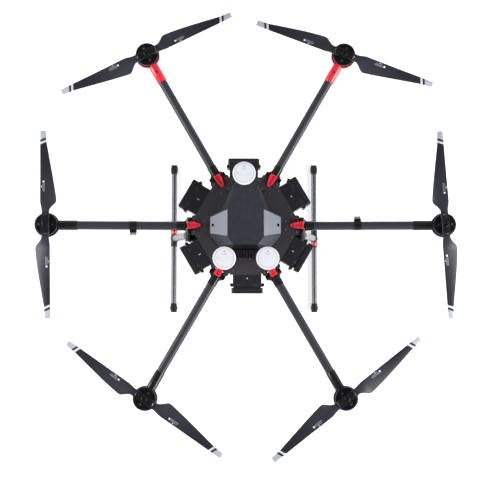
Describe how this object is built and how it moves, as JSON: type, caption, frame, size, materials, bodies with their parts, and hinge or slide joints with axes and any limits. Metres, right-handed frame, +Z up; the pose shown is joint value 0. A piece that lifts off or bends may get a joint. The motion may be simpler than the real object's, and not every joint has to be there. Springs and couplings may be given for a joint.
{
  "type": "folding six-rotor spray drone airframe",
  "caption": "Folding multirotor airframe with folding propellers, slide-in batteries, retractable skids and antenna masts, for carrying a spray kit or other payload.",
  "frame": {"origin": "on the ground, straight below the middle of the centre frame", "axes": "+Y forward, +X to the right, +Z up"},
  "size_m": [1.2044, 1.272, 0.727],
  "materials": {
    "carbon_plate": "twill laminate, satin",
    "carbon_tube": "unidirectional laminate, gloss",
    "black_plastic": "moulded grain, matte",
    "slate_plastic": "moulded grain, satin",
    "grey_plastic": "moulded grain, satin",
    "white_plastic": "satin",
    "blade_plastic": "satin",
    "red_trim": "satin",
    "red_metal": "anodised satin",
    "black_metal": "anodised satin",
    "dark_metal": "anodised satin"
  },
  "bodies": {
    "frame": {"top_plate": "carbon_plate", "bottom_plate": "carbon_plate", "frame_fittings": "dark_metal", "arm_hinges": "dark_metal", "arm_lock_brackets": "red_trim", "battery_bays": "black_plastic", "canopy_shell": "slate_plastic", "canopy_side_panels": "grey_plastic", "control_electronics": "black_plastic", "gear_brackets": "black_plastic", "payload_mount": "carbon_tube"},
    "arm_1": {"arm_1_root": "black_plastic", "arm_1_tube": "carbon_tube", "arm_1_motor_mount": "red_metal"},
    "rotor_1": {"rotor_1": "black_metal"},
    "blade_1a": {"blade_1a": "blade_plastic"},
    "blade_1b": {"blade_1b": "blade_plastic"},
    "arm_2": {"arm_2_root": "black_plastic", "arm_2_tube": "carbon_tube", "arm_2_motor_mount": "red_metal"},
    "rotor_2": {"rotor_2": "black_metal"},
    "blade_2a": {"blade_2a": "blade_plastic"},
    "blade_2b": {"blade_2b": "blade_plastic"},
    "arm_3": {"arm_3_root": "black_plastic", "arm_3_tube": "carbon_tube", "arm_3_motor_mount": "black_metal"},
    "rotor_3": {"rotor_3": "black_metal"},
    "blade_3a": {"blade_3a": "blade_plastic"},
    "blade_3b": {"blade_3b": "blade_plastic"},
    "arm_4": {"arm_4_root": "black_plastic", "arm_4_tube": "carbon_tube", "arm_4_motor_mount": "black_metal"},
    "rotor_4": {"rotor_4": "black_metal"},
    "blade_4a": {"blade_4a": "blade_plastic"},
    "blade_4b": {"blade_4b": "blade_plastic"},
    "arm_5": {"arm_5_root": "black_plastic", "arm_5_tube": "carbon_tube", "arm_5_motor_mount": "black_metal"},
    "rotor_5": {"rotor_5": "black_metal"},
    "blade_5a": {"blade_5a": "blade_plastic"},
    "blade_5b": {"blade_5b": "blade_plastic"},
    "arm_6": {"arm_6_root": "black_plastic", "arm_6_tube": "carbon_tube", "arm_6_motor_mount": "black_metal"},
    "rotor_6": {"rotor_6": "black_metal"},
    "blade_6a": {"blade_6a": "blade_plastic"},
    "blade_6b": {"blade_6b": "blade_plastic"},
    "battery_1": {"battery_1": "black_plastic"},
    "battery_2": {"battery_2": "black_plastic"},
    "battery_3": {"battery_3": "black_plastic"},
    "battery_4": {"battery_4": "black_plastic"},
    "battery_5": {"battery_5": "black_plastic"},
    "battery_6": {"battery_6": "black_plastic"},
    "mast_front": {"antenna_mast_front": "white_plastic"},
    "mast_left": {"antenna_mast_left": "white_plastic"},
    "mast_right": {"antenna_mast_right": "white_plastic"},
    "gear_left": {"gear_left_leg": "carbon_tube", "gear_left_skid": "carbon_tube"},
    "gear_right": {"gear_right_leg": "carbon_tube", "gear_right_skid": "carbon_tube"}
  },
  "joints": [
    {"name": "arm_1_fold", "type": "hinge", "parent": "frame", "child": "arm_1", "pos_m": [0.081, 0.1403, 0.53], "axis": [-0.866, 0.5, 0], "range_deg": [0, 90]},
    {"name": "rotor_1_spin", "type": "hinge", "parent": "arm_1", "child": "rotor_1", "pos_m": [0.28273, 0.4897, 0.57117], "axis": [-0.0262, -0.0453, 0.9986], "continuous": true},
    {"name": "blade_1a_fold", "type": "hinge", "parent": "rotor_1", "child": "blade_1a", "pos_m": [0.30362, 0.48037, 0.59012], "axis": [-0.0262, -0.0453, 0.9986], "range_deg": [-85, 85]},
    {"name": "blade_1b_fold", "type": "hinge", "parent": "rotor_1", "child": "blade_1b", "pos_m": [0.26085, 0.49732, 0.58977], "axis": [0.0262, 0.0453, -0.9986], "range_deg": [-85, 85]},
    {"name": "arm_2_fold", "type": "hinge", "parent": "frame", "child": "arm_2", "pos_m": [-0.081, 0.1403, 0.53], "axis": [-0.866, -0.5, 0], "range_deg": [0, 90]},
    {"name": "rotor_2_spin", "type": "hinge", "parent": "arm_2", "child": "rotor_2", "pos_m": [-0.28273, 0.4897, 0.57117], "axis": [0.0262, -0.0453, 0.9986], "continuous": true},
    {"name": "blade_2a_fold", "type": "hinge", "parent": "rotor_2", "child": "blade_2a", "pos_m": [-0.26174, 0.49929, 0.58988], "axis": [0.0262, -0.0453, 0.9986], "range_deg": [-85, 85]},
    {"name": "blade_2b_fold", "type": "hinge", "parent": "rotor_2", "child": "blade_2b", "pos_m": [-0.30273, 0.4784, 0.59001], "axis": [-0.0262, 0.0453, -0.9986], "range_deg": [-85, 85]},
    {"name": "arm_3_fold", "type": "hinge", "parent": "frame", "child": "arm_3", "pos_m": [-0.162, 0, 0.53], "axis": [0, -1, 0], "range_deg": [0, 55]},
    {"name": "rotor_3_spin", "type": "hinge", "parent": "arm_3", "child": "rotor_3", "pos_m": [-0.56545, 0, 0.57117], "axis": [0.0523, 0, 0.9986], "continuous": true},
    {"name": "blade_3a_fold", "type": "hinge", "parent": "rotor_3", "child": "blade_3a", "pos_m": [-0.56463, 0.023, 0.58995], "axis": [0.0523, 0, 0.9986], "range_deg": [-85, 85]},
    {"name": "blade_3b_fold", "type": "hinge", "parent": "rotor_3", "child": "blade_3b", "pos_m": [-0.56431, -0.023, 0.58994], "axis": [-0.0523, 0, -0.9986], "range_deg": [-85, 85]},
    {"name": "arm_4_fold", "type": "hinge", "parent": "frame", "child": "arm_4", "pos_m": [-0.081, -0.1403, 0.53], "axis": [0.866, -0.5, 0], "range_deg": [0, 90]},
    {"name": "rotor_4_spin", "type": "hinge", "parent": "arm_4", "child": "rotor_4", "pos_m": [-0.28273, -0.4897, 0.57117], "axis": [0.0262, 0.0453, 0.9986], "continuous": true},
    {"name": "blade_4a_fold", "type": "hinge", "parent": "rotor_4", "child": "blade_4a", "pos_m": [-0.26319, -0.50174, 0.59003], "axis": [-0.0262, -0.0453, -0.9986], "range_deg": [-85, 85]},
    {"name": "blade_4b_fold", "type": "hinge", "parent": "rotor_4", "child": "blade_4b", "pos_m": [-0.30128, -0.47595, 0.58986], "axis": [0.0262, 0.0453, 0.9986], "range_deg": [-85, 85]},
    {"name": "arm_5_fold", "type": "hinge", "parent": "frame", "child": "arm_5", "pos_m": [0.081, -0.1403, 0.53], "axis": [0.866, 0.5, 0], "range_deg": [0, 90]},
    {"name": "rotor_5_spin", "type": "hinge", "parent": "arm_5", "child": "rotor_5", "pos_m": [0.28273, -0.4897, 0.57117], "axis": [-0.0262, 0.0453, 0.9986], "continuous": true},
    {"name": "blade_5a_fold", "type": "hinge", "parent": "rotor_5", "child": "blade_5a", "pos_m": [0.30051, -0.47488, 0.58979], "axis": [0.0262, -0.0453, -0.9986], "range_deg": [-85, 85]},
    {"name": "blade_5b_fold", "type": "hinge", "parent": "rotor_5", "child": "blade_5b", "pos_m": [0.26396, -0.50281, 0.5901], "axis": [-0.0262, 0.0453, 0.9986], "range_deg": [-85, 85]},
    {"name": "arm_6_fold", "type": "hinge", "parent": "frame", "child": "arm_6", "pos_m": [0.162, 0, 0.53], "axis": [0, 1, 0], "range_deg": [0, 55]},
    {"name": "rotor_6_spin", "type": "hinge", "parent": "arm_6", "child": "rotor_6", "pos_m": [0.56545, 0, 0.57117], "axis": [-0.0523, 0, 0.9986], "continuous": true},
    {"name": "blade_6a_fold", "type": "hinge", "parent": "rotor_6", "child": "blade_6a", "pos_m": [0.56271, 0.02293, 0.58985], "axis": [0.0523, 0, -0.9986], "range_deg": [-85, 85]},
    {"name": "blade_6b_fold", "type": "hinge", "parent": "rotor_6", "child": "blade_6b", "pos_m": [0.56623, -0.02293, 0.59004], "axis": [-0.0523, 0, 0.9986], "range_deg": [-85, 85]},
    {"name": "battery_1_slide", "type": "slide", "parent": "frame", "child": "battery_1", "axis": [0, 1, 0], "range_m": [0, 0.11]},
    {"name": "battery_2_slide", "type": "slide", "parent": "frame", "child": "battery_2", "axis": [-0.866, 0.5, 0], "range_m": [0, 0.11]},
    {"name": "battery_3_slide", "type": "slide", "parent": "frame", "child": "battery_3", "axis": [-0.866, -0.5, 0], "range_m": [0, 0.11]},
    {"name": "battery_4_slide", "type": "slide", "parent": "frame", "child": "battery_4", "axis": [0, -1, 0], "range_m": [-0.0015, 0.1085]},
    {"name": "battery_5_slide", "type": "slide", "parent": "frame", "child": "battery_5", "axis": [0.866, -0.5, 0], "range_m": [-0.0035, 0.1065]},
    {"name": "battery_6_slide", "type": "slide", "parent": "frame", "child": "battery_6", "axis": [0.866, 0.5, 0], "range_m": [0, 0.11]},
    {"name": "mast_front_fold", "type": "hinge", "parent": "frame", "child": "mast_front", "pos_m": [-0.005, 0.1255, 0.568], "axis": [1, 0, 0], "range_deg": [-90, 0]},
    {"name": "mast_left_fold", "type": "hinge", "parent": "frame", "child": "mast_left", "pos_m": [-0.058, -0.1025, 0.568], "axis": [-1, 0, 0], "range_deg": [-90, 0]},
    {"name": "mast_right_fold", "type": "hinge", "parent": "frame", "child": "mast_right", "pos_m": [0.058, -0.1025, 0.568], "axis": [-1, 0, 0], "range_deg": [-90, 0]},
    {"name": "gear_left_retract", "type": "hinge", "parent": "frame", "child": "gear_left", "pos_m": [-0.163, -0.022, 0.47], "axis": [0, -1, 0], "range_deg": [-75, 0]},
    {"name": "gear_right_retract", "type": "hinge", "parent": "frame", "child": "gear_right", "pos_m": [0.163, -0.022, 0.47], "axis": [0, 1, 0], "range_deg": [-75, 0]}
  ]
}
